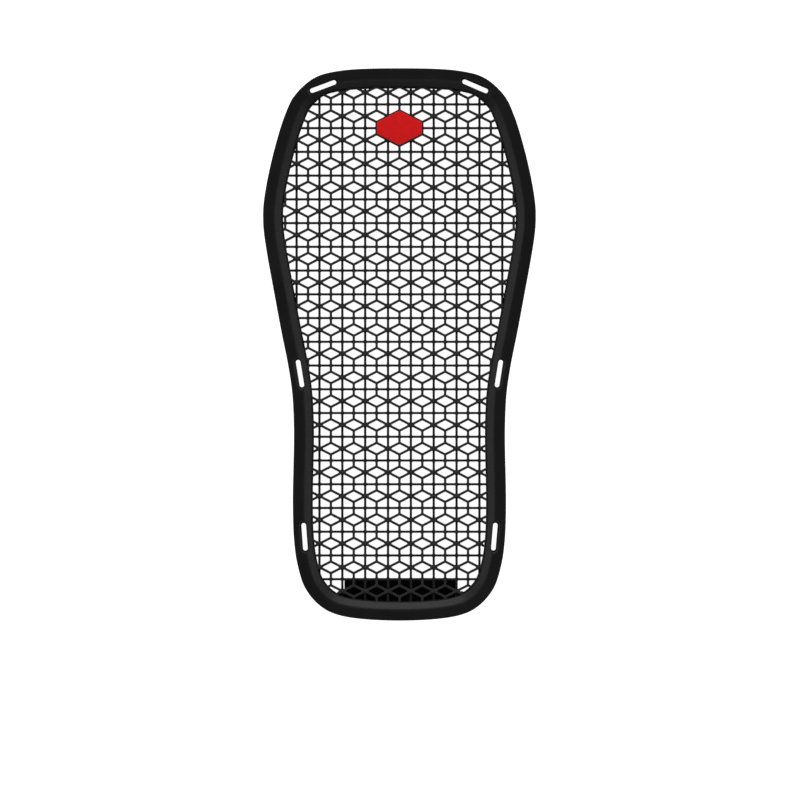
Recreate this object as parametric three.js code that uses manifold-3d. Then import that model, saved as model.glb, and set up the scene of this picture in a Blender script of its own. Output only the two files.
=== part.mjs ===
// A back protector: a flat rubber insert for the back of a jacket or vest. It lies on its back, with its
// outer face up. +Y is the wearer's head, +X the right of the outer face, and the origin is on the ground
// under the middle of the insert. All lengths are in millimetres.
import * as THREE from 'three';
import { mergeVertices } from 'three/addons/utils/BufferGeometryUtils.js';
import Module from 'manifold-3d';

// The whole insert
const length = 450;
const width = 222.3;
const thickness = 13;

// The rim's section, from its outer wall inwards: a flat land, a rounded ridge, a bevel down to the rounded lip
// and a drafted inner wall
const rimWidth = 16.4;
const landWidth = 9;
const bevelDrop = 4.05;
const wallDraft = 1.1;
const outerRound = 0.8;
const ridgeRound = 1.7;
const lipRound = 0.95;

// The six slots that take the garment's straps, countersunk from the front
const slotLength = 22.5;
const slotWidth = 3.7;
const slotDraft = 1;
const slotReliefWidth = 1.7;
const slotReliefDepth = 1.2;
// down: a slot's place as a share of the way down one side from the middle of the top
// across: its middle as a share of the rim's width from the outer wall
const slotPairs = [
  { down: 0.1125, across: 0.561 },
  { down: 0.5555, across: 0.512 },
  { down: 0.7815, across: 0.532 },
];

// The lattice: honeycomb cells with upright sides, whose edge is a tongue held in a groove of the rim
const cellWidth = 37.25;
const rowPitch = 19.35;
const tipHeight = 4.75;
const firstRowFromTop = 29.3;
const ribWidth = 1.8;
const latticeBack = 1.5;
const latticeSink = 0.95;
const seatDepth = 3.9;
const tongueThickness = 3;
const gapReach = 0.5;
const cornersInside = 1;

// The red badge on the closed cell of the second row
const badgeRow = 1;
const badgeThickness = 1.4;
const badgeMargin = 0.25;
const badgeBevel = 0.5;

// The patch behind the lattice at the bottom: a plate with a wing at each end, a little to the right
const patchWidth = 91.8;
const patchHeight = 18;
const patchOffset = 1;
const wingReach = 5.7;
const wingHeight = 7.5;
const patchThickness = 1;

const clearance = 0.3;

// The outline's right half, from the top down, as shares of half the length and of half the width
const outlineTable = [
  { along: 0.990, out: 0.450 },
  { along: 0.964, out: 0.628 },
  { along: 0.899, out: 0.772 },
  { along: 0.834, out: 0.837 },
  { along: 0.725, out: 0.907 },
  { along: 0.595, out: 0.969 },
  { along: 0.505, out: 0.997 },
  { along: 0.460, out: 1.000 },
  { along: 0.415, out: 0.996 },
  { along: 0.334, out: 0.973 },
  { along: 0.182, out: 0.917 },
  { along: 0.052, out: 0.868 },
  { along: -0.079, out: 0.815 },
  { along: -0.178, out: 0.786 },
  { along: -0.311, out: 0.774 },
  { along: -0.579, out: 0.782 },
  { along: -0.709, out: 0.773 },
  { along: -0.796, out: 0.748 },
  { along: -0.883, out: 0.690 },
  { along: -0.948, out: 0.577 },
  { along: -0.981, out: 0.437 },
  { along: -1.000, out: 0.000 },
];
const stationsPerRow = 2;
const slotEndSteps = 6;

// Places that follow from the sizes above
const lipWidth = rimWidth - wallDraft;
const lipHeight = thickness - bevelDrop;
const latticeFront = lipHeight - latticeSink;
const tongueMiddle = (latticeBack + latticeFront) / 2;
const tongueLow = tongueMiddle - tongueThickness / 2;
const tongueHigh = tongueMiddle + tongueThickness / 2;
const firstRow = length / 2 - firstRowFromTop;

// The outline is one closed curve, counter-clockwise seen from above, starting at the middle of the top
function outlineCurve() {
  const place = (side) => ({ along, out }) => new THREE.Vector3(side * out * width / 2, along * length / 2, 0);
  const left = outlineTable.map(place(-1));
  const right = outlineTable.slice(0, -1).map(place(1)).reverse();
  return new THREE.CatmullRomCurve3([new THREE.Vector3(0, length / 2, 0), ...left, ...right], true, 'centripetal');
}

// Stations on the outline, each a place and the direction that points out of the insert
function outlineStations(curve) {
  const count = curve.points.length * stationsPerRow;
  return Array.from({ length: count }, (_, i) => {
    const tangent = curve.getTangent(i / count);
    return { place: curve.getPoint(i / count), outward: new THREE.Vector3(tangent.y, -tangent.x, 0) };
  });
}

const outline = outlineCurve();
const stations = outlineStations(outline);

// The outline moved inwards by one distance
function insetOutline(inset) {
  return stations.map(({ place, outward }) => place.clone().addScaledVector(outward, -inset));
}

function indexedGeometry(positions, triangles) {
  const geometry = new THREE.BufferGeometry();
  geometry.setAttribute('position', new THREE.Float32BufferAttribute(positions, 3));
  geometry.setIndex(triangles);
  return geometry;
}

// A closed body through level outlines with equally many points, from the lowest level up
function loft(levels) {
  const count = levels[0].points.length;
  const positions = levels.flatMap(({ height, points }) => points.flatMap((p) => [p.x, p.y, height]));
  const triangles = [];
  for (let level = 0; level + 1 < levels.length; level++) {
    for (let i = 0; i < count; i++) {
      const a = level * count + i;
      const b = level * count + (i + 1) % count;
      triangles.push(a, b, b + count, a, b + count, a + count);
    }
  }
  const cap = (level) => THREE.ShapeUtils.triangulateShape(
    levels[level].points.map((p) => new THREE.Vector2(p.x, p.y)), []);
  const top = (levels.length - 1) * count;
  for (const [a, b, c] of cap(0)) triangles.push(a, c, b);
  for (const [a, b, c] of cap(levels.length - 1)) triangles.push(top + a, top + b, top + c);
  return indexedGeometry(positions, triangles);
}

function prism(points, low, high) {
  return loft([{ height: low, points }, { height: high, points }]);
}

// A closed ring: one section of insets and heights carried round the stations
function sweepRing(section) {
  const positions = stations.flatMap(({ place, outward }) => section.flatMap(([inset, height]) => [
    place.x - inset * outward.x, place.y - inset * outward.y, height,
  ]));
  const corner = (i, j) => (i % stations.length) * section.length + j % section.length;
  const triangles = [];
  for (let i = 0; i < stations.length; i++) {
    for (let j = 0; j < section.length; j++) {
      triangles.push(corner(i, j), corner(i + 1, j), corner(i + 1, j + 1));
      triangles.push(corner(i, j), corner(i + 1, j + 1), corner(i, j + 1));
    }
  }
  return indexedGeometry(positions, triangles);
}

const wasm = await Module();
wasm.setup();

function toSolid(geometry) {
  const bare = geometry.clone();
  bare.deleteAttribute('normal');
  bare.deleteAttribute('uv');
  const merged = mergeVertices(bare);
  return new wasm.Manifold(new wasm.Mesh({
    numProp: 3,
    vertProperties: new Float32Array(merged.attributes.position.array),
    triVerts: new Uint32Array(merged.index.array),
  }));
}

function fromSolid(solid) {
  const mesh = solid.getMesh();
  return indexedGeometry(Array.from(mesh.vertProperties), Array.from(mesh.triVerts));
}

// How far the rim's drafted inner wall lies from its outer wall at a height
function innerWall(height) {
  return lipWidth + wallDraft * (lipHeight - height) / lipHeight;
}

// Three points that round off a corner between its two neighbours
function roundedCorner(before, corner, after, reach) {
  const start = corner.clone().add(before.clone().sub(corner).setLength(reach));
  const end = corner.clone().add(after.clone().sub(corner).setLength(reach));
  const middle = start.clone().add(end).addScaledVector(corner, 2).divideScalar(4);
  return [start, middle, end];
}

// The rim
function rimSection() {
  const point = (inset, height) => new THREE.Vector2(inset, height);
  const land = point(outerRound, thickness);
  const ridge = point(landWidth, thickness);
  const lip = point(lipWidth, lipHeight);
  const foot = point(rimWidth, 0);
  const grooveHigh = tongueHigh + clearance;
  const grooveLow = tongueLow - clearance;
  return [
    point(outerRound, 0),
    point(0, outerRound),
    point(0, thickness - outerRound),
    point(outerRound * 0.3, thickness - outerRound * 0.3),
    land,
    ...roundedCorner(land, ridge, lip, ridgeRound),
    ...roundedCorner(ridge, lip, foot, lipRound),
    point(innerWall(grooveHigh), grooveHigh),
    point(rimWidth - seatDepth, grooveHigh),
    point(rimWidth - seatDepth, grooveLow),
    point(innerWall(grooveLow), grooveLow),
    foot,
  ].map(({ x, y }) => [x, y]);
}

// A stadium outline round a middle, with its long way along a direction
function stadium(middle, direction, halfLength, halfWidth) {
  const heading = Math.atan2(direction.y, direction.x);
  const points = [];
  for (const end of [1, -1]) {
    const x = middle.x + direction.x * end * (halfLength - halfWidth);
    const y = middle.y + direction.y * end * (halfLength - halfWidth);
    for (let step = 0; step <= slotEndSteps; step++) {
      const turn = heading - end * Math.PI / 2 + Math.PI * step / slotEndSteps;
      points.push(new THREE.Vector3(x + halfWidth * Math.cos(turn), y + halfWidth * Math.sin(turn), 0));
    }
  }
  return points;
}

// One slot's cutter: drafted walls up to the relief, then the countersunk relief
function slotCutter(round, across) {
  const direction = outline.getTangentAt(round);
  const outward = new THREE.Vector3(direction.y, -direction.x, 0);
  const middle = outline.getPointAt(round).addScaledVector(outward, -across * rimWidth);
  const level = (height, grown) => ({
    height, points: stadium(middle, direction, slotLength / 2 + grown, slotWidth / 2 + grown),
  });
  return loft([
    level(-1, 0),
    level(0, 0),
    level(thickness - slotReliefDepth, slotDraft),
    level(thickness, slotDraft + slotReliefWidth),
    level(thickness + 1, slotDraft + slotReliefWidth),
  ]);
}

function edgeRim() {
  let solid = toSolid(sweepRing(rimSection()));
  for (const { down, across } of slotPairs) {
    for (const round of [down / 2, 1 - down / 2]) {
      solid = solid.subtract(toSolid(slotCutter(round, across)));
    }
  }
  return fromSolid(solid);
}

// One lattice cell's corners, with its sides moved inwards
function cellCorners(x, y, inset) {
  const side = cellWidth / 2;
  const tip = rowPitch / 2 + tipHeight;
  const shoulder = rowPitch - tip;
  const slope = (tip - shoulder) / side;
  const drop = inset * Math.hypot(1, slope);
  const insetShoulder = shoulder - drop + slope * inset;
  const corner = (dx, dy) => new THREE.Vector3(x + dx, y + dy, 0);
  return [
    corner(0, tip - drop),
    corner(inset - side, insetShoulder),
    corner(inset - side, -insetShoulder),
    corner(0, drop - tip),
    corner(side - inset, -insetShoulder),
    corner(side - inset, insetShoulder),
  ];
}

// Whether a point lies inside a closed outline: an upright ray from it crosses the outline an odd number of times
function isInside(point, points) {
  return points.filter((a, i) => {
    const b = points[(i + 1) % points.length];
    const crosses = (a.x > point.x) !== (b.x > point.x);
    return crosses && point.y < a.y + (b.y - a.y) * (point.x - a.x) / (b.x - a.x);
  }).length % 2 === 1;
}

// The middles of all cells that are cut through: every second row is half a cell to the side
function openCells() {
  const wall = insetOutline(rimWidth);
  const lastRow = Math.ceil(length / rowPitch);
  const lastColumn = Math.ceil(width / cellWidth);
  const cells = [];
  for (let row = -1; row <= lastRow; row++) {
    for (let column = -lastColumn; column <= lastColumn; column++) {
      const x = (column + (row % 2 === 0 ? 0.5 : 0)) * cellWidth;
      const y = firstRow - row * rowPitch;
      const isBadge = row === badgeRow && column === 0;
      const inside = cellCorners(x, y, 0).filter((corner) => isInside(corner, wall)).length;
      if (!isBadge && inside >= cornersInside) cells.push({ x, y });
    }
  }
  return cells;
}

function latticePanel() {
  const body = (height) => ({ height, points: insetOutline(innerWall(height) + clearance) });
  const tongue = insetOutline(rimWidth - seatDepth + clearance);
  const panel = toSolid(loft([
    body(latticeBack),
    body(tongueLow),
    { height: tongueLow, points: tongue },
    { height: tongueHigh, points: tongue },
    body(tongueHigh),
    body(latticeFront),
  ]));
  const reach = toSolid(prism(insetOutline(lipWidth + clearance - gapReach), 0, thickness));
  let gaps = null;
  for (const { x, y } of openCells()) {
    const gap = toSolid(prism(cellCorners(x, y, ribWidth / 2), 0, thickness));
    gaps = gaps ? gaps.add(gap) : gap;
  }
  return fromSolid(panel.subtract(gaps.intersect(reach)));
}

// The badge: a hexagonal plate as large as its cell, with a small bevel round its front
function badge() {
  const y = firstRow - badgeRow * rowPitch;
  const back = latticeFront + clearance;
  const front = back + badgeThickness;
  return loft([
    { height: back, points: cellCorners(0, y, badgeMargin) },
    { height: front - badgeBevel, points: cellCorners(0, y, badgeMargin) },
    { height: front, points: cellCorners(0, y, badgeMargin + badgeBevel) },
  ]);
}

function rectangle(left, right, bottom, top) {
  return [[left, bottom], [right, bottom], [right, top], [left, top]].map(([x, y]) => new THREE.Vector3(x, y, 0));
}

// The patch: a plate and its wings, cut along the inside of the rim
function rearPatch() {
  const high = latticeBack - clearance;
  const low = high - patchThickness;
  const rimEdge = rimWidth - length / 2;
  const half = patchWidth / 2;
  const plate = rectangle(patchOffset - half, patchOffset + half, -length / 2, rimEdge + patchHeight);
  const wings = rectangle(
    patchOffset - half - wingReach, patchOffset + half + wingReach, -length / 2, rimEdge + wingHeight);
  const inside = toSolid(prism(insetOutline(rimWidth + clearance), low, high));
  const shape = toSolid(prism(plate, low, high)).add(toSolid(prism(wings, low, high)));
  return fromSolid(shape.intersect(inside));
}

const rubber = new THREE.MeshStandardMaterial({ color: 0x1c1c1d, roughness: 0.62, metalness: 0 });
const latticeRubber = new THREE.MeshStandardMaterial({ color: 0x18181a, roughness: 0.55, metalness: 0 });
const redPlastic = new THREE.MeshStandardMaterial({ color: 0xc4161a, roughness: 0.45, metalness: 0 });
const blackPatch = new THREE.MeshStandardMaterial({ color: 0x0c0c0d, roughness: 0.8, metalness: 0 });

function piece(name, geometry, material) {
  const mesh = new THREE.Mesh(geometry, material);
  mesh.name = name;
  return mesh;
}

const backProtector = new THREE.Group();
backProtector.name = 'back_protector';
backProtector.add(
  piece('edge_rim', edgeRim(), rubber),
  piece('lattice_panel', latticePanel(), latticeRubber),
  piece('badge', badge(), redPlastic),
  piece('rear_patch', rearPatch(), blackPatch),
);

export default backProtector;
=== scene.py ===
import math

import bmesh
import bpy
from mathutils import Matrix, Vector


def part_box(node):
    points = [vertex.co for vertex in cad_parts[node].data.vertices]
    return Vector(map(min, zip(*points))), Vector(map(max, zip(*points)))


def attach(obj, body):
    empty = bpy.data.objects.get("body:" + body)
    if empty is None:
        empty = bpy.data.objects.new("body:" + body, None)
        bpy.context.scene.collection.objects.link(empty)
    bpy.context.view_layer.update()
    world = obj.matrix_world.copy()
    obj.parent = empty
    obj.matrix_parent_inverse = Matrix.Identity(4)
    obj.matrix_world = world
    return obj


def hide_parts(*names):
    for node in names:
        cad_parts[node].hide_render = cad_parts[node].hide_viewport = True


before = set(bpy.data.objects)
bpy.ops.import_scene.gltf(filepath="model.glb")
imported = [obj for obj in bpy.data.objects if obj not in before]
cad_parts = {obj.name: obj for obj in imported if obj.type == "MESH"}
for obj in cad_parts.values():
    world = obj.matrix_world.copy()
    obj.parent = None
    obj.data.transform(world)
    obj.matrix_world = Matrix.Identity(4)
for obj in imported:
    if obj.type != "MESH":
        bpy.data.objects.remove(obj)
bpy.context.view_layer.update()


# The view
# The insert lies on a lit white table in a white room and is seen from straight above through a very long
# lens, with the wearer's head at the top of the picture. Low softboxes on all four sides light its bevels.
# The rubber reflects them alone, as if black flags kept the white table and room out of it.
PICTURE_SIDE = 800
INSERT_LENGTH_IN_PIXELS = 552.73
INSERT_MIDDLE_IN_PIXELS = (399.45, 344.435)
CAMERA_HEIGHT = 8.0
SENSOR_WIDTH = 36.0

rim_low, rim_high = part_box("edge_rim")
pixel = (rim_high.y - rim_low.y) / INSERT_LENGTH_IN_PIXELS
camera_data = bpy.data.cameras.new("photo_camera")
camera_data.sensor_width = SENSOR_WIDTH
camera_data.lens = SENSOR_WIDTH * CAMERA_HEIGHT / (PICTURE_SIDE * pixel)
camera = bpy.data.objects.new("photo_camera", camera_data)
camera.location = (
    (PICTURE_SIDE / 2 - INSERT_MIDDLE_IN_PIXELS[0]) * pixel,
    (INSERT_MIDDLE_IN_PIXELS[1] - PICTURE_SIDE / 2) * pixel,
    rim_high.z + CAMERA_HEIGHT,
)
bpy.context.scene.collection.objects.link(camera)
bpy.context.scene.camera = camera

FLOOR_RADIUS = 40.0
FLOOR_SIDES = 64
FLOOR_COLOUR = (0.6, 0.6, 0.6, 1)
FLOOR_GLOW = 0.95
FLOOR_ROUGHNESS = 0.9
FLOOR_DROP = 0.0001
WHITE = (1, 1, 1, 1)


def new_material(name):
    """A material with its shader node, and short ways to reach its nodes and its links."""
    material = bpy.data.materials.new(name)
    material.use_nodes = True
    return material, material.node_tree.nodes, material.node_tree.links


floor_mesh = bpy.data.meshes.new("floor")
floor_form = bmesh.new()
bmesh.ops.create_circle(floor_form, cap_ends=True, radius=FLOOR_RADIUS, segments=FLOOR_SIDES)
bmesh.ops.translate(floor_form, verts=floor_form.verts, vec=(0, 0, rim_low.z - FLOOR_DROP))
floor_form.to_mesh(floor_mesh)
floor_form.free()
floor = bpy.data.objects.new("floor", floor_mesh)
bpy.context.scene.collection.objects.link(floor)
floor_paint, nodes, _ = new_material("floor_paint")
shader = nodes["Principled BSDF"]
shader.inputs["Base Color"].default_value = FLOOR_COLOUR
shader.inputs["Roughness"].default_value = FLOOR_ROUGHNESS
shader.inputs["Specular IOR Level"].default_value = 0.0
shader.inputs["Emission Color"].default_value = WHITE
shader.inputs["Emission Strength"].default_value = FLOOR_GLOW
floor_mesh.materials.append(floor_paint)
floor.visible_glossy = False

room_mesh = bpy.data.meshes.new("room")
room_form = bmesh.new()
bmesh.ops.create_uvsphere(
    room_form, u_segments=FLOOR_SIDES, v_segments=FLOOR_SIDES // 2, radius=FLOOR_RADIUS)
room_form.to_mesh(room_mesh)
room_form.free()
room = bpy.data.objects.new("room", room_mesh)
bpy.context.scene.collection.objects.link(room)
room_paint, nodes, _ = new_material("room_paint")
shader = nodes["Principled BSDF"]
shader.inputs["Base Color"].default_value = FLOOR_COLOUR
shader.inputs["Emission Color"].default_value = WHITE
shader.inputs["Emission Strength"].default_value = FLOOR_GLOW
room_mesh.materials.append(room_paint)
room.visible_glossy = False
room.visible_diffuse = False
room.visible_shadow = False

SOFTBOX_DISTANCE = 6.0
LONG_SOFTBOX = (6.5, 2.5)
FOOT_SOFTBOX = (6.0, 2.0)
LOW = 0.55
HIGHER = 0.9
TOWARDS_HEAD = 0.1
WORLD_STRENGTH = 0.4


def softbox(name, direction, size, power):
    """An area light on one side, turned towards the insert's middle."""
    light = bpy.data.lights.new(name, "AREA")
    light.shape = "RECTANGLE"
    light.size, light.size_y = size
    light.energy = power
    lamp = bpy.data.objects.new(name, light)
    lamp.location = Vector(direction).normalized() * SOFTBOX_DISTANCE
    lamp.rotation_euler = Vector(direction).to_track_quat("Z", "Y").to_euler()
    lamp.visible_camera = False
    bpy.context.scene.collection.objects.link(lamp)


softbox("head_softbox", (0, 1, LOW), LONG_SOFTBOX, 208)
softbox("left_softbox", (-1, TOWARDS_HEAD, LOW), LONG_SOFTBOX, 100)
softbox("right_softbox", (1, TOWARDS_HEAD, LOW), LONG_SOFTBOX, 93)
softbox("foot_softbox", (0, -1, HIGHER), FOOT_SOFTBOX, 56)

world = bpy.data.worlds.new("studio")
world.use_nodes = True
world.node_tree.nodes["Background"].inputs["Color"].default_value = WHITE
world.node_tree.nodes["Background"].inputs["Strength"].default_value = WORLD_STRENGTH
bpy.context.scene.world = world
world.cycles_visibility.glossy = False
bpy.context.scene.view_settings.view_transform = "Standard"


# The rim
# A thick edge of black rubber, moulded in one with the lattice: a flat land outside, a rounded ridge, and a
# bevel down to the lip where the lattice starts. A fine parting line runs halfway up its outer wall. Six
# strap slots go through it, countersunk from the front.
RIM_WIDTH = 0.0164
LAND_WIDTH = 0.009
BEVEL_DROP = 0.00405
WALL_DRAFT = 0.0011
OUTER_ROUND = 0.0008
RIDGE_ROUND = 0.006
LIP_ROUND = 0.002
BACK_ROUND = 0.0005
PARTING_LINE = 0.00006
SEAT_DEPTH = 0.0039
TONGUE = 0.003
LATTICE_SINK = 0.00095
CLEARANCE = 0.0003
STATIONS_PER_ROW = 10
SECTION_CORNER_STEPS = 6
SECTION_HOLD = 0.0003
RIM_SHARP_ANGLE = 38
WELD_DISTANCE = 0.000001

length = rim_high.y - rim_low.y
width = rim_high.x - rim_low.x
thickness = rim_high.z - rim_low.z
lattice_low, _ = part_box("lattice_panel")
lip_width = RIM_WIDTH - WALL_DRAFT
lip_height = thickness - BEVEL_DROP
lattice_front = lip_height - LATTICE_SINK
tongue_middle = (lattice_low.z + lattice_front) / 2
tongue_low = tongue_middle - TONGUE / 2
tongue_high = tongue_middle + TONGUE / 2

# The outline's right half, from the top down: shares of half the length and of half the width
OUTLINE = [
    (0.990, 0.450), (0.964, 0.628), (0.899, 0.772), (0.834, 0.837), (0.725, 0.907), (0.595, 0.969),
    (0.505, 0.997), (0.460, 1.000), (0.415, 0.996), (0.334, 0.973), (0.182, 0.917), (0.052, 0.868),
    (-0.079, 0.815), (-0.178, 0.786), (-0.311, 0.774), (-0.579, 0.782), (-0.709, 0.773), (-0.796, 0.748),
    (-0.883, 0.690), (-0.948, 0.577), (-0.981, 0.437), (-1.000, 0.000),
]
# The slots: shares of the way down one side from the middle of the top, and of the rim's width from outside
SLOTS = [(0.1125, 0.561), (0.5555, 0.512), (0.7815, 0.532)]
SLOT_LENGTH = 0.0225
SLOT_WIDTH = 0.0037
SLOT_END_STEPS = 14
CUTTER_OVERRUN = 0.002
# A slot's walls: heights above the back and depths below the front, and how far the slot is wider there
SLOT_BACK = [(0, 0.0006), (0.00015, 0.0003), (0.0006, 0), (0.002, 0.0001)]
SLOT_FRONT = [
    (0.0016, 0.0009), (0.0007, 0.0012), (0.00045, 0.0014), (0.0002, 0.0022), (0.00005, 0.0028), (0, 0.0032),
]


def curve_point(a, b, c, d, t):
    """A point from b to c on a smooth curve through four points, evenly tense whatever their spacing."""
    ab, bc, cd = (math.sqrt((q - p).length) for p, q in ((a, b), (b, c), (c, d)))
    start = ((b - a) / ab - (c - a) / (ab + bc) + (c - b) / bc) * bc
    end = ((c - b) / bc - (d - b) / (bc + cd) + (d - c) / cd) * bc
    return (
        b
        + start * t
        + (3 * (c - b) - 2 * start - end) * t**2
        + (2 * (b - c) + start + end) * t**3
    )


def outline_stations(steps):
    """Places round the outline, counter-clockwise from the middle of the top, with the ways outwards."""
    left = [Vector((-out * width / 2, along * length / 2)) for along, out in OUTLINE]
    right = [Vector((-p.x, p.y)) for p in reversed(left[:-1])]
    knots = [Vector((0, length / 2)), *left, *right]
    count = len(knots)
    places = [
        curve_point(*(knots[(i + k) % count] for k in (-1, 0, 1, 2)), step / steps)
        for i in range(count)
        for step in range(steps)
    ]
    stations = []
    for i, place in enumerate(places):
        along = (places[(i + 1) % len(places)] - places[i - 1]).normalized()
        stations.append((place, Vector((along.y, -along.x))))
    return stations


fine_stations = outline_stations(STATIONS_PER_ROW)


def inset_outline(stations, inset):
    return [place - outward * inset for place, outward in stations]


def round_corners(corners, radii, steps, hold=0.0):
    """A closed outline with an arc at each corner and, with a hold given, a point on either side of it."""
    points = []
    for i, corner in enumerate(corners):
        before = (corners[i - 1] - corner).normalized()
        after = (corners[(i + 1) % len(corners)] - corner).normalized()
        radius = radii[i]
        if radius == 0:
            points.append(corner)
            continue
        half_angle = before.angle(after) / 2
        reach = radius / math.tan(half_angle)
        middle = corner + (before + after).normalized() * radius / math.sin(half_angle)
        start = corner + before * reach - middle
        turn = math.pi - 2 * half_angle
        side = 1 if before.x * after.y - before.y * after.x < 0 else -1
        if hold:
            points.append(corner + before * (reach + hold))
        for step in range(steps + 1):
            angle = side * turn * step / steps
            spoke = Vector((
                start.x * math.cos(angle) - start.y * math.sin(angle),
                start.x * math.sin(angle) + start.y * math.cos(angle),
            ))
            points.append(middle + spoke)
        if hold:
            points.append(corner + after * (reach + hold))
    return points


def add_object(name, vertices, faces):
    mesh = bpy.data.meshes.new(name)
    mesh.from_pydata(vertices, [], faces)
    mesh.validate()
    made = bpy.data.objects.new(name, mesh)
    bpy.context.scene.collection.objects.link(made)
    return made


def loft(name, levels):
    """A closed body through level outlines with equally many points, from the lowest level up."""
    count = len(levels[0][1])
    vertices = [(p.x, p.y, height) for height, points in levels for p in points]
    faces = [tuple(reversed(range(count)))]
    for level in range(len(levels) - 1):
        first = level * count
        for i in range(count):
            j = (i + 1) % count
            faces.append((first + i, first + j, first + count + j, first + count + i))
    faces.append(tuple(range(len(vertices) - count, len(vertices))))
    return add_object(name, vertices, faces)


def cut(piece, tools, operation="DIFFERENCE"):
    """Cuts a piece with closed tools, one after another, throws the tools away and welds what meets."""
    for tool in tools:
        modifier = piece.modifiers.new("cut", "BOOLEAN")
        modifier.operation = operation
        modifier.solver = "MANIFOLD"
        modifier.object = tool
    evaluated = piece.evaluated_get(bpy.context.evaluated_depsgraph_get())
    mesh = bpy.data.meshes.new_from_object(evaluated)
    mesh.materials.clear()
    form = bmesh.new()
    form.from_mesh(mesh)
    bmesh.ops.remove_doubles(form, verts=form.verts, dist=WELD_DISTANCE)
    bmesh.ops.dissolve_degenerate(form, edges=form.edges, dist=WELD_DISTANCE)
    form.to_mesh(mesh)
    form.free()
    piece.modifiers.clear()
    piece.data = mesh
    for tool in tools:
        bpy.data.objects.remove(tool)


def smooth_by_angle(piece, degrees):
    """Smooth shading, kept sharp where two faces meet at more than the given angle."""
    form = bmesh.new()
    form.from_mesh(piece.data)
    for face in form.faces:
        face.smooth = True
    for edge in form.edges:
        edge.smooth = len(edge.link_faces) == 2 and edge.calc_face_angle(0) < math.radians(degrees)
    form.to_mesh(piece.data)
    form.free()


def inner_wall(height):
    """How far the rim's drafted inner wall lies from its outer wall at a height."""
    return lip_width + WALL_DRAFT * (lip_height - height) / lip_height


def rim_section():
    """The rim's section as insets from the outer wall and heights."""
    middle = thickness / 2
    groove_high, groove_low = tongue_high + CLEARANCE, tongue_low - CLEARANCE
    corners_and_radii = [
        ((PARTING_LINE, 0), OUTER_ROUND),
        ((PARTING_LINE, middle - 2 * PARTING_LINE), 0),
        ((0, middle), 0),
        ((PARTING_LINE, middle + 2 * PARTING_LINE), 0),
        ((PARTING_LINE, thickness), OUTER_ROUND),
        ((LAND_WIDTH, thickness), RIDGE_ROUND),
        ((lip_width, lip_height), LIP_ROUND),
        ((inner_wall(groove_high), groove_high), 0),
        ((RIM_WIDTH - SEAT_DEPTH, groove_high), 0),
        ((RIM_WIDTH - SEAT_DEPTH, groove_low), 0),
        ((inner_wall(groove_low), groove_low), 0),
        ((inner_wall(0), 0), BACK_ROUND),
    ]
    corners = [Vector(corner) for corner, _ in corners_and_radii]
    radii = [radius for _, radius in corners_and_radii]
    return round_corners(corners, radii, SECTION_CORNER_STEPS, hold=SECTION_HOLD)


def sweep_ring(name, section):
    """The section carried round the outline as a closed ring."""
    vertices = [
        (place.x - p.x * outward.x, place.y - p.x * outward.y, p.y)
        for place, outward in fine_stations
        for p in section
    ]
    rings, sides = len(fine_stations), len(section)
    faces = []
    for i in range(rings):
        for j in range(sides):
            a, b = i * sides, (i + 1) % rings * sides
            k = (j + 1) % sides
            faces.append((a + j, b + j, b + k, a + k))
    return add_object(name, vertices, faces)


def outline_at(share):
    """The place and the way outwards at a share of the outline's length."""
    count = len(fine_stations)
    remaining = share * sum((fine_stations[i][0] - fine_stations[i - 1][0]).length for i in range(count))
    for i, (place, outward) in enumerate(fine_stations):
        step = fine_stations[(i + 1) % count][0] - place
        if remaining <= step.length:
            return place + step.normalized() * remaining, outward
        remaining -= step.length


def slot_cutter(share, across):
    """The slot's void: a rounded back edge, drafted walls, and the shallow countersink with a soft edge."""
    place, outward = outline_at(share)
    middle = place - outward * across * RIM_WIDTH
    along = Vector((-outward.y, outward.x))
    straight = (SLOT_LENGTH - SLOT_WIDTH) / 2

    def stadium(grown):
        points = []
        for end in (1, -1):
            for step in range(SLOT_END_STEPS + 1):
                turn = math.pi * (step / SLOT_END_STEPS - 0.5)
                ray = end * (along * math.cos(turn) - outward * math.sin(turn))
                points.append(middle + along * end * straight + ray * (SLOT_WIDTH / 2 + grown))
        return points

    levels = [
        (-CUTTER_OVERRUN, SLOT_BACK[0][1]),
        *SLOT_BACK,
        *((thickness - depth, grown) for depth, grown in SLOT_FRONT),
        (thickness + CUTTER_OVERRUN, SLOT_FRONT[-1][1]),
    ]
    return loft("slot_cutter", [(height, stadium(grown)) for height, grown in levels])


rim = sweep_ring("rubber_rim", rim_section())
cut(rim, [
    slot_cutter(share, across)
    for down, across in SLOTS
    for share in (down / 2, 1 - down / 2)
])
smooth_by_angle(rim, RIM_SHARP_ANGLE)


RUBBER_SPECULAR = 0.3
RUBBER_SHEEN = 0.04
RUBBER_SHEEN_ROUGHNESS = 0.5
BLOOM_SCALE = 26
BLOOM_DETAIL = 5
# Where the bloom starts and ends, and how dark and light the rubber and its roughness are there
BLOOM_RANGE = (0.3, 0.75)
BLOOM_TONES = (0.82, 1.25)
BLOOM_ROUGHNESS = (-0.05, 0.06)
DUST_SHARE = 0.4
DUST_DETAIL = 3
GRAIN_STRENGTH = 0.5


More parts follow.
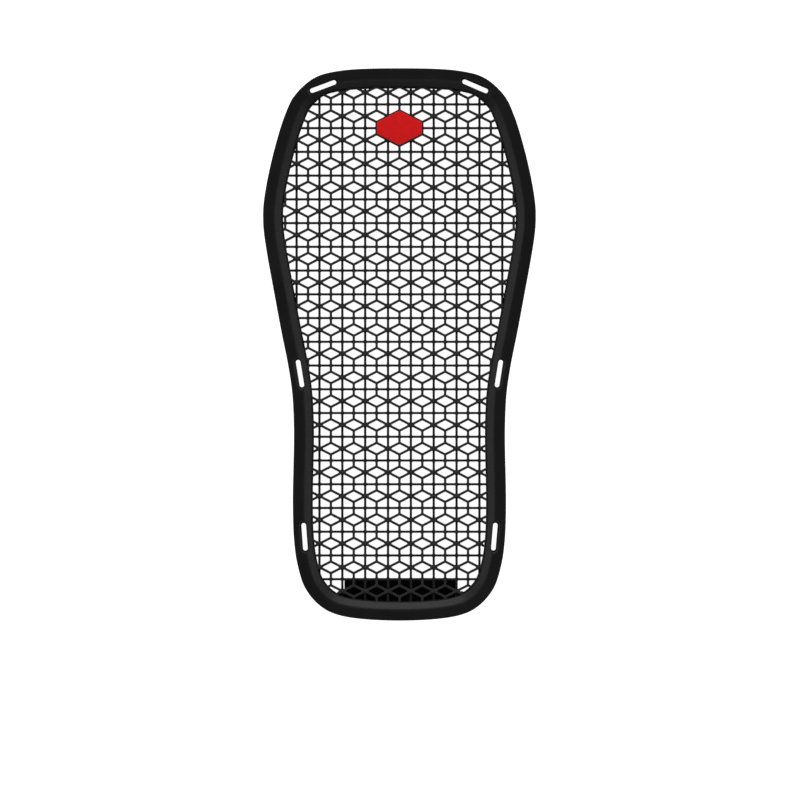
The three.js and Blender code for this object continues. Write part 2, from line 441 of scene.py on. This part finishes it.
def moulded_rubber(name, colour, roughness, grain_size, grain_depth):
    """Black moulded rubber: the mould's fine spark-eroded grain, and a faint bloom in sheen and tone."""
    material, nodes, links = new_material(name)
    shader = nodes["Principled BSDF"]
    shader.inputs["Specular IOR Level"].default_value = RUBBER_SPECULAR
    shader.inputs["Sheen Weight"].default_value = RUBBER_SHEEN
    shader.inputs["Sheen Roughness"].default_value = RUBBER_SHEEN_ROUGHNESS
    coordinates = nodes.new("ShaderNodeTexCoord")

    bloom = nodes.new("ShaderNodeTexNoise")
    bloom.inputs["Scale"].default_value = BLOOM_SCALE
    bloom.inputs["Detail"].default_value = BLOOM_DETAIL
    links.new(coordinates.outputs["Object"], bloom.inputs["Vector"])
    tone = nodes.new("ShaderNodeValToRGB")
    for end, position, share in zip(tone.color_ramp.elements, BLOOM_RANGE, BLOOM_TONES):
        end.position = position
        end.color = (*(share * c for c in colour), 1)
    links.new(bloom.outputs["Fac"], tone.inputs["Fac"])
    links.new(tone.outputs["Color"], shader.inputs["Base Color"])

    sheen = nodes.new("ShaderNodeMapRange")
    sheen.inputs["To Min"].default_value = roughness + BLOOM_ROUGHNESS[0]
    sheen.inputs["To Max"].default_value = roughness + BLOOM_ROUGHNESS[1]
    links.new(bloom.outputs["Fac"], sheen.inputs["Value"])
    links.new(sheen.outputs["Result"], shader.inputs["Roughness"])

    grain = nodes.new("ShaderNodeTexVoronoi")
    grain.inputs["Scale"].default_value = 1 / grain_size
    links.new(coordinates.outputs["Object"], grain.inputs["Vector"])
    dust = nodes.new("ShaderNodeTexNoise")
    dust.inputs["Scale"].default_value = DUST_SHARE / grain_size
    dust.inputs["Detail"].default_value = DUST_DETAIL
    links.new(coordinates.outputs["Object"], dust.inputs["Vector"])
    relief = nodes.new("ShaderNodeMath")
    relief.operation = "ADD"
    links.new(grain.outputs["Distance"], relief.inputs[0])
    links.new(dust.outputs["Fac"], relief.inputs[1])
    bump = nodes.new("ShaderNodeBump")
    bump.inputs["Strength"].default_value = GRAIN_STRENGTH
    bump.inputs["Distance"].default_value = grain_depth
    links.new(relief.outputs["Value"], bump.inputs["Height"])
    links.new(bump.outputs["Normal"], shader.inputs["Normal"])
    return material


rim_rubber = moulded_rubber(
    "rim_rubber", colour=(0.0052, 0.0052, 0.0053), roughness=0.44, grain_size=0.0006, grain_depth=0.00012)
rim.data.materials.append(rim_rubber)
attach(rim, "root")
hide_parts("edge_rim")


# The lattice
# The open middle of the insert, moulded in one with the rim from the same rubber. Proud ribs frame rows of
# hexagons with diamonds between them, and a thinner, sunk cross divides each hexagon into four openings.
# The ribs' crests are rounded and carry a painted highlight: the rubber is painted lighter towards their
# fronts than on their flanks.
COLUMN_PITCH = 0.018625
ROW_PITCH = 0.01935
DIAMOND_TIP = 0.00475
FIRST_BAR_FROM_TOP = 0.0293
RIB_HALF = 0.001
CROSS_UPRIGHT_HALF = 0.00096
CROSS_BAR_HALF = 0.00093
CROSS_SINK = 0.0022
POCKET_LEDGE = 0.00005
DIAMOND_CORNER = 0.0006
QUARTER_CORNER = 0.0007
JUNCTION_CORNER = 0.0004
CORNER_STEPS = 3
# A proud rib's rounded crest: depths below its front, and how far the opening is wider there
CREST = [(0.0003, 0.0001), (0.0001, 0.00028), (0, 0.00052)]
# The ribs' back edges: heights above the back, and how far the opening is wider there
BACK_EDGE = [(0, 0.0003), (0.0004, 0)]
CROSS_ROUND = 0.0003
CROSS_ROUND_DEPTH = 0.0004
CUTTER_STEP = 0.0005
LATTICE_SHARP_ANGLE = 62
WALL_GAP = 0.00002
GAP_REACH = 0.0006
POCKET_COLUMNS = 12
POCKET_ROWS = 23
DIAMOND_COLUMNS = 11
DIAMOND_ROWS = 22
MIDDLE_ROW = 10
BADGE_ROW = 1
CLOSED_RADIUS = 0.012
REACH_LEVELS = (-0.01, 0.03)
# Painted highlight on the proud ribs: the lighter colour the lattice rubber blends to, over this depth
# below their fronts
CREST_PAINTED_HIGHLIGHT = (0.019, 0.019, 0.0195, 1)
PAINTED_HIGHLIGHT_DEPTH = 0.0012

first_bar = rim_high.y - FIRST_BAR_FROM_TOP
badge_middle = Vector((0, first_bar - BADGE_ROW * ROW_PITCH, 0))
grid_middle = Vector((0, first_bar - MIDDLE_ROW * ROW_PITCH, 0))
cross_front = lattice_front - CROSS_SINK
half_column = COLUMN_PITCH / 2
half_row = ROW_PITCH / 2
shoulder = half_row - DIAMOND_TIP


def inset_corners(corners, insets):
    """A counter-clockwise outline with each side moved inwards by its own distance."""
    moved = []
    for i, corner in enumerate(corners):
        before = (corner - corners[i - 1]).normalized()
        after = (corners[(i + 1) % len(corners)] - corner).normalized()
        cross = before.x * after.y - before.y * after.x
        moved.append(corner + (after * insets[i - 1] - before * insets[i]) / cross)
    return moved


def opening_cutter(name, corners, insets, corner_radius, levels):
    """A cutter for one opening. Each level has a height and how far each of the sides is grown there."""
    radii = corner_radius if isinstance(corner_radius, list) else [corner_radius] * len(corners)

    def outline(growths):
        grown = [inset - growth for inset, growth in zip(insets, growths)]
        return round_corners(inset_corners(corners, grown), radii, CORNER_STEPS)

    return loft(name, [(height, outline(growths)) for height, growths in levels])


def join_bodies(name, parts):
    """One object that holds several closed bodies side by side."""
    vertices, faces = [], []
    for part in parts:
        first = len(vertices)
        vertices += [tuple(v.co) for v in part.data.vertices]
        faces += [tuple(first + k for k in polygon.vertices) for polygon in part.data.polygons]
        bpy.data.objects.remove(part)
    return add_object(name, vertices, faces)


def mirrored(corners, x, y):
    turned = [Vector((corner.x * x, corner.y * y)) for corner in corners]
    return turned if x * y > 0 else turned[::-1]


def crest_levels(sides, floor_level):
    """Growths from a floor up to the rounded crest of the proud ribs."""
    steps = [
        (floor_level, 0),
        *((lattice_front - depth, growth) for depth, growth in CREST),
        (lattice_front + CUTTER_STEP, CREST[-1][1]),
    ]
    return [(height, [growth] * sides) for height, growth in steps]


def back_levels(sides):
    """Growths below and at the small rounding of the ribs' back edges."""
    steps = [
        (lattice_low.z - CUTTER_STEP, BACK_EDGE[0][1]),
        *((lattice_low.z + rise, growth) for rise, growth in BACK_EDGE),
    ]
    return [(height, [growth] * sides) for height, growth in steps]


diamond = [
    Vector((half_column, 0)), Vector((0, DIAMOND_TIP)),
    Vector((-half_column, 0)), Vector((0, -DIAMOND_TIP)),
]
diamond_levels = back_levels(4) + crest_levels(4, cross_front)
diamond_cutter = opening_cutter(
    "diamond_cutter", diamond, [RIB_HALF] * 4, DIAMOND_CORNER, diamond_levels)

hexagon = [
    Vector((half_column, -shoulder)), Vector((half_column, shoulder)), Vector((0, half_row)),
    Vector((-half_column, shoulder)), Vector((-half_column, -shoulder)), Vector((0, -half_row)),
]
pocket_cutter = opening_cutter(
    "pocket_cutter", hexagon, [RIB_HALF - POCKET_LEDGE] * 6, QUARTER_CORNER, crest_levels(6, cross_front))

# The upper right quarter of a hexagon, between the bar, the rib beside it, the sloping rib and the upright
quarter = [Vector((0, 0)), Vector((half_column, 0)), Vector((half_column, shoulder)), Vector((0, half_row))]
quarter_insets = [CROSS_BAR_HALF, RIB_HALF, RIB_HALF, CROSS_UPRIGHT_HALF]
quarter_crest = [CROSS_ROUND, 0, 0, CROSS_ROUND]
quarter_cutters = []
for x, y in ((1, 1), (-1, 1), (-1, -1), (1, -1)):
    # Mirrored corners run the other way round, and so do the sides between them
    straight_order = x * y > 0
    insets = quarter_insets if straight_order else quarter_insets[-2::-1] + quarter_insets[-1:]
    crest = quarter_crest if straight_order else quarter_crest[-2::-1] + quarter_crest[-1:]
    levels = back_levels(4) + [
        (cross_front - CROSS_ROUND_DEPTH, [0] * 4),
        (cross_front, crest),
        (cross_front + CROSS_ROUND, crest),
    ]
    radii = [QUARTER_CORNER, QUARTER_CORNER, QUARTER_CORNER, JUNCTION_CORNER]
    if not straight_order:
        radii = radii[::-1]
    quarter_cutters.append(
        opening_cutter("quarter_cutter", mirrored(quarter, x, y), insets, radii, levels))
quarters_cutter = join_bodies("quarters_cutter", quarter_cutters)


def repeat_tree():
    """A node tree that repeats one cutter on a rectangular grid, apart from a closed circle in it."""
    tree = bpy.data.node_groups.new("repeat_on_grid", "GeometryNodeTree")
    face = tree.interface
    face.new_socket("Geometry", in_out="OUTPUT", socket_type="NodeSocketGeometry")
    for label, kind in (
        ("Cutter", "NodeSocketObject"), ("Columns", "NodeSocketInt"), ("Rows", "NodeSocketInt"),
        ("Column Pitch", "NodeSocketFloat"), ("Row Pitch", "NodeSocketFloat"),
        ("Grid Middle", "NodeSocketVector"), ("Closed Middle", "NodeSocketVector"),
        ("Closed Radius", "NodeSocketFloat"), ("Material", "NodeSocketMaterial"),
    ):
        face.new_socket(label, in_out="INPUT", socket_type=kind)
    nodes, links = tree.nodes, tree.links
    given = nodes.new("NodeGroupInput")
    result = nodes.new("NodeGroupOutput")

    def span(count, pitch):
        less = nodes.new("ShaderNodeMath")
        less.operation = "SUBTRACT"
        less.inputs[1].default_value = 1
        links.new(given.outputs[count], less.inputs[0])
        times = nodes.new("ShaderNodeMath")
        times.operation = "MULTIPLY"
        links.new(less.outputs[0], times.inputs[0])
        links.new(given.outputs[pitch], times.inputs[1])
        return times.outputs[0]

    grid = nodes.new("GeometryNodeMeshGrid")
    links.new(span("Columns", "Column Pitch"), grid.inputs["Size X"])
    links.new(span("Rows", "Row Pitch"), grid.inputs["Size Y"])
    links.new(given.outputs["Columns"], grid.inputs["Vertices X"])
    links.new(given.outputs["Rows"], grid.inputs["Vertices Y"])
    placed = nodes.new("GeometryNodeTransform")
    links.new(grid.outputs["Mesh"], placed.inputs["Geometry"])
    links.new(given.outputs["Grid Middle"], placed.inputs["Translation"])

    position = nodes.new("GeometryNodeInputPosition")
    distance = nodes.new("ShaderNodeVectorMath")
    distance.operation = "DISTANCE"
    links.new(position.outputs["Position"], distance.inputs[0])
    links.new(given.outputs["Closed Middle"], distance.inputs[1])
    is_closed = nodes.new("FunctionNodeCompare")
    is_closed.operation = "LESS_THAN"
    links.new(distance.outputs["Value"], is_closed.inputs["A"])
    links.new(given.outputs["Closed Radius"], is_closed.inputs["B"])
    kept = nodes.new("GeometryNodeDeleteGeometry")
    links.new(placed.outputs["Geometry"], kept.inputs["Geometry"])
    links.new(is_closed.outputs["Result"], kept.inputs["Selection"])

    cutter = nodes.new("GeometryNodeObjectInfo")
    links.new(given.outputs["Cutter"], cutter.inputs["Object"])
    repeated = nodes.new("GeometryNodeInstanceOnPoints")
    links.new(kept.outputs["Geometry"], repeated.inputs["Points"])
    links.new(cutter.outputs["Geometry"], repeated.inputs["Instance"])
    realized = nodes.new("GeometryNodeRealizeInstances")
    links.new(repeated.outputs["Instances"], realized.inputs["Geometry"])
    coated = nodes.new("GeometryNodeSetMaterial")
    links.new(realized.outputs["Geometry"], coated.inputs["Geometry"])
    links.new(given.outputs["Material"], coated.inputs["Material"])
    links.new(coated.outputs["Geometry"], result.inputs["Geometry"])
    return tree


lattice_rubber = moulded_rubber(
    "lattice_rubber", colour=(0.007, 0.007, 0.0073), roughness=0.42, grain_size=0.0005, grain_depth=0.00008)
nodes, links = lattice_rubber.node_tree.nodes, lattice_rubber.node_tree.links
axes = nodes.new("ShaderNodeSeparateXYZ")
links.new(nodes["Texture Coordinate"].outputs["Object"], axes.inputs["Vector"])
# Painted highlight: the base colour turns lighter over the top of the ribs, up to their fronts
painted_highlight_height = nodes.new("ShaderNodeMapRange")
painted_highlight_height.inputs["From Min"].default_value = lattice_front - PAINTED_HIGHLIGHT_DEPTH
painted_highlight_height.inputs["From Max"].default_value = lattice_front
links.new(axes.outputs["Z"], painted_highlight_height.inputs["Value"])
painted_highlight_mix = nodes.new("ShaderNodeMix")
painted_highlight_mix.data_type = "RGBA"
painted_highlight_mix.inputs["B"].default_value = CREST_PAINTED_HIGHLIGHT
links.new(painted_highlight_height.outputs["Result"], painted_highlight_mix.inputs["Factor"])
links.new(nodes["Color Ramp"].outputs["Color"], painted_highlight_mix.inputs["A"])
links.new(painted_highlight_mix.outputs["Result"], nodes["Principled BSDF"].inputs["Base Color"])
grid_repeat = repeat_tree()


def repeated_cutters(name, cutter, columns, rows):
    """All cutters of one kind as one plain object."""
    holder = add_object(name, [], [])
    modifier = holder.modifiers.new("repeat", "NODES")
    modifier.node_group = grid_repeat
    values = {
        "Cutter": cutter, "Columns": columns, "Rows": rows, "Column Pitch": COLUMN_PITCH,
        "Row Pitch": ROW_PITCH, "Grid Middle": grid_middle, "Closed Middle": badge_middle,
        "Closed Radius": CLOSED_RADIUS, "Material": lattice_rubber,
    }
    for item in grid_repeat.interface.items_tree:
        if item.name in values:
            modifier[item.identifier] = values[item.name]
    evaluated = holder.evaluated_get(bpy.context.evaluated_depsgraph_get())
    mesh = bpy.data.meshes.new_from_object(evaluated)
    holder.modifiers.clear()
    holder.data = mesh
    bpy.data.objects.remove(cutter)
    return holder


def open_middle(name, levels):
    """The insert's open middle as a block, at each height up to an inset from the outer wall."""
    return loft(name, [(height, inset_outline(fine_stations, inset)) for height, inset in levels])


def panel_wall(height):
    return height, inset_outline(fine_stations, inner_wall(height) + WALL_GAP)


panel_tongue = inset_outline(fine_stations, RIM_WIDTH - SEAT_DEPTH + CLEARANCE)
lattice = loft("rubber_lattice", [
    panel_wall(lattice_low.z), panel_wall(tongue_low), (tongue_low, panel_tongue),
    (tongue_high, panel_tongue), panel_wall(tongue_high), panel_wall(lattice_front),
])
pockets = repeated_cutters("pockets", pocket_cutter, POCKET_COLUMNS, POCKET_ROWS)
quarters = repeated_cutters("quarters", quarters_cutter, POCKET_COLUMNS, POCKET_ROWS)
diamonds = repeated_cutters("diamonds", diamond_cutter, DIAMOND_COLUMNS, DIAMOND_ROWS)
cut(pockets, [quarters, diamonds], "UNION")
reach = lip_width - GAP_REACH
cut(pockets, [open_middle("reach", [(height, reach) for height in REACH_LEVELS])], "INTERSECT")
cut(lattice, [pockets])
lattice.data.materials.append(lattice_rubber)
smooth_by_angle(lattice, LATTICE_SHARP_ANGLE)
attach(lattice, "root")
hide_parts("lattice_panel")


# The badge
# A bare hexagonal plate of red plastic on the closed cell of the second row, as large as the cell, with a
# rounded front edge. Bonded to the lattice.
BADGE_MARGIN = 0.00025
BADGE_ROUND = 0.0006
BADGE_CORNER = 0.0009
BADGE_CORNER_STEPS = 6
BADGE_STEPS = 5
BADGE_SHARP_ANGLE = 35
BADGE_ROUGHNESS = 0.42
BADGE_SPECULAR = 0.2
DARK_RED = (0.56, 0.0040, 0.0050, 1)
LIGHT_RED = (0.64, 0.0048, 0.0058, 1)
MOTTLE_RANGE = (0.3, 0.7)
MOTTLE_SCALE = 240
MOTTLE_DETAIL = 4
MOTTLE_STRENGTH = 0.25
MOTTLE_DEPTH = 0.00004

badge_low, badge_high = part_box("badge")
badge_corners = [
    badge_middle.xy + Vector(corner) for corner in (
        (2 * half_column, -shoulder), (2 * half_column, shoulder), (0, half_row + DIAMOND_TIP),
        (-2 * half_column, shoulder), (-2 * half_column, -shoulder), (0, -half_row - DIAMOND_TIP),
    )
]


def badge_outline(inset):
    return round_corners(inset_corners(badge_corners, [inset] * 6), [BADGE_CORNER] * 6, BADGE_CORNER_STEPS)


badge_levels = [(badge_low.z, badge_outline(BADGE_MARGIN))]
for step in range(BADGE_STEPS + 1):
    turn = math.pi / 2 * step / BADGE_STEPS
    badge_levels.append((
        badge_high.z - BADGE_ROUND * (1 - math.sin(turn)),
        badge_outline(BADGE_MARGIN + BADGE_ROUND * (1 - math.cos(turn))),
    ))
badge = loft("red_badge", badge_levels)
smooth_by_angle(badge, BADGE_SHARP_ANGLE)

badge_red, nodes, links = new_material("badge_red")
shader = nodes["Principled BSDF"]
shader.inputs["Roughness"].default_value = BADGE_ROUGHNESS
shader.inputs["Specular IOR Level"].default_value = BADGE_SPECULAR
coordinates = nodes.new("ShaderNodeTexCoord")
mottle = nodes.new("ShaderNodeTexNoise")
mottle.inputs["Scale"].default_value = MOTTLE_SCALE
mottle.inputs["Detail"].default_value = MOTTLE_DETAIL
links.new(coordinates.outputs["Object"], mottle.inputs["Vector"])
tone = nodes.new("ShaderNodeValToRGB")
for end, position, colour in zip(tone.color_ramp.elements, MOTTLE_RANGE, (DARK_RED, LIGHT_RED)):
    end.position = position
    end.color = colour
links.new(mottle.outputs["Fac"], tone.inputs["Fac"])
links.new(tone.outputs["Color"], shader.inputs["Base Color"])
bump = nodes.new("ShaderNodeBump")
bump.inputs["Strength"].default_value = MOTTLE_STRENGTH
bump.inputs["Distance"].default_value = MOTTLE_DEPTH
links.new(mottle.outputs["Fac"], bump.inputs["Height"])
links.new(bump.outputs["Normal"], shader.inputs["Normal"])
badge.data.materials.append(badge_red)
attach(badge, "root")
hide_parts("badge")


# The patch
# A plate of black webbing laminate bonded behind the lattice at the foot end, with a wing at each end. Its
# weave shows through the openings.
PATCH_WIDTH = 0.0918
PATCH_HEIGHT = 0.018
PATCH_OFFSET = 0.001
WING_REACH = 0.0057
WING_HEIGHT = 0.0075
PATCH_CORNER = 0.0012
PATCH_CORNER_STEPS = 4
PATCH_ROUND = 0.00025
PATCH_SHARP_ANGLE = 50
PATCH_REACH_LEVELS = (-0.001, 0.002)
PATCH_ROUGHNESS = 0.85
PATCH_SPECULAR = 0.2
GAP_BLACK = (0.0008, 0.0008, 0.0009, 1)
THREAD_BLACK = (0.018, 0.018, 0.0185, 1)
THREAD_SCALE = 230
THREAD_DISTORTION = 1.2
LINT_SCALE = 300
LINT_DETAIL = 3
WEAVE_STRENGTH = 0.6
WEAVE_DEPTH = 0.00015

patch_low, patch_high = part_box("rear_patch")
rim_edge = rim_low.y + RIM_WIDTH
left, right = PATCH_OFFSET - PATCH_WIDTH / 2, PATCH_OFFSET + PATCH_WIDTH / 2
wing_top, patch_top = rim_edge + WING_HEIGHT, rim_edge + PATCH_HEIGHT
tee = [Vector(corner) for corner in (
    (left - WING_REACH, rim_low.y), (right + WING_REACH, rim_low.y), (right + WING_REACH, wing_top),
    (right, wing_top), (right, patch_top), (left, patch_top), (left, wing_top),
    (left - WING_REACH, wing_top),
)]


def patch_outline(inset):
    sides = len(tee)
    return round_corners(inset_corners(tee, [inset] * sides), [PATCH_CORNER] * sides, PATCH_CORNER_STEPS)


patch = loft("woven_patch", [
    (patch_low.z, patch_outline(PATCH_ROUND)), (patch_low.z + PATCH_ROUND, patch_outline(0)),
    (patch_high.z - PATCH_ROUND, patch_outline(0)), (patch_high.z, patch_outline(PATCH_ROUND)),
])
wall_levels = [(height, inner_wall(height) + WALL_GAP) for height in PATCH_REACH_LEVELS]
cut(patch, [open_middle("patch_reach", wall_levels)], "INTERSECT")
smooth_by_angle(patch, PATCH_SHARP_ANGLE)

patch_black, nodes, links = new_material("patch_black")
shader = nodes["Principled BSDF"]
shader.inputs["Roughness"].default_value = PATCH_ROUGHNESS
shader.inputs["Specular IOR Level"].default_value = PATCH_SPECULAR
coordinates = nodes.new("ShaderNodeTexCoord")
threads = []
for axis in ("X", "Y"):
    thread = nodes.new("ShaderNodeTexWave")
    thread.bands_direction = axis
    thread.inputs["Scale"].default_value = THREAD_SCALE
    thread.inputs["Distortion"].default_value = THREAD_DISTORTION
    links.new(coordinates.outputs["Object"], thread.inputs["Vector"])
    threads.append(thread)
weave = nodes.new("ShaderNodeMath")
weave.operation = "MAXIMUM"
links.new(threads[0].outputs["Fac"], weave.inputs[0])
links.new(threads[1].outputs["Fac"], weave.inputs[1])
tone = nodes.new("ShaderNodeValToRGB")
tone.color_ramp.elements[0].color = GAP_BLACK
tone.color_ramp.elements[1].color = THREAD_BLACK
lint = nodes.new("ShaderNodeTexNoise")
lint.inputs["Scale"].default_value = LINT_SCALE
lint.inputs["Detail"].default_value = LINT_DETAIL
links.new(coordinates.outputs["Object"], lint.inputs["Vector"])
patchy = nodes.new("ShaderNodeMath")
patchy.operation = "MULTIPLY"
links.new(weave.outputs["Value"], patchy.inputs[0])
links.new(lint.outputs["Fac"], patchy.inputs[1])
links.new(patchy.outputs["Value"], tone.inputs["Fac"])
links.new(tone.outputs["Color"], shader.inputs["Base Color"])
bump = nodes.new("ShaderNodeBump")
bump.inputs["Strength"].default_value = WEAVE_STRENGTH
bump.inputs["Distance"].default_value = WEAVE_DEPTH
links.new(weave.outputs["Value"], bump.inputs["Height"])
links.new(bump.outputs["Normal"], shader.inputs["Normal"])
patch.data.materials.append(patch_black)
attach(patch, "root")
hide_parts("rear_patch")
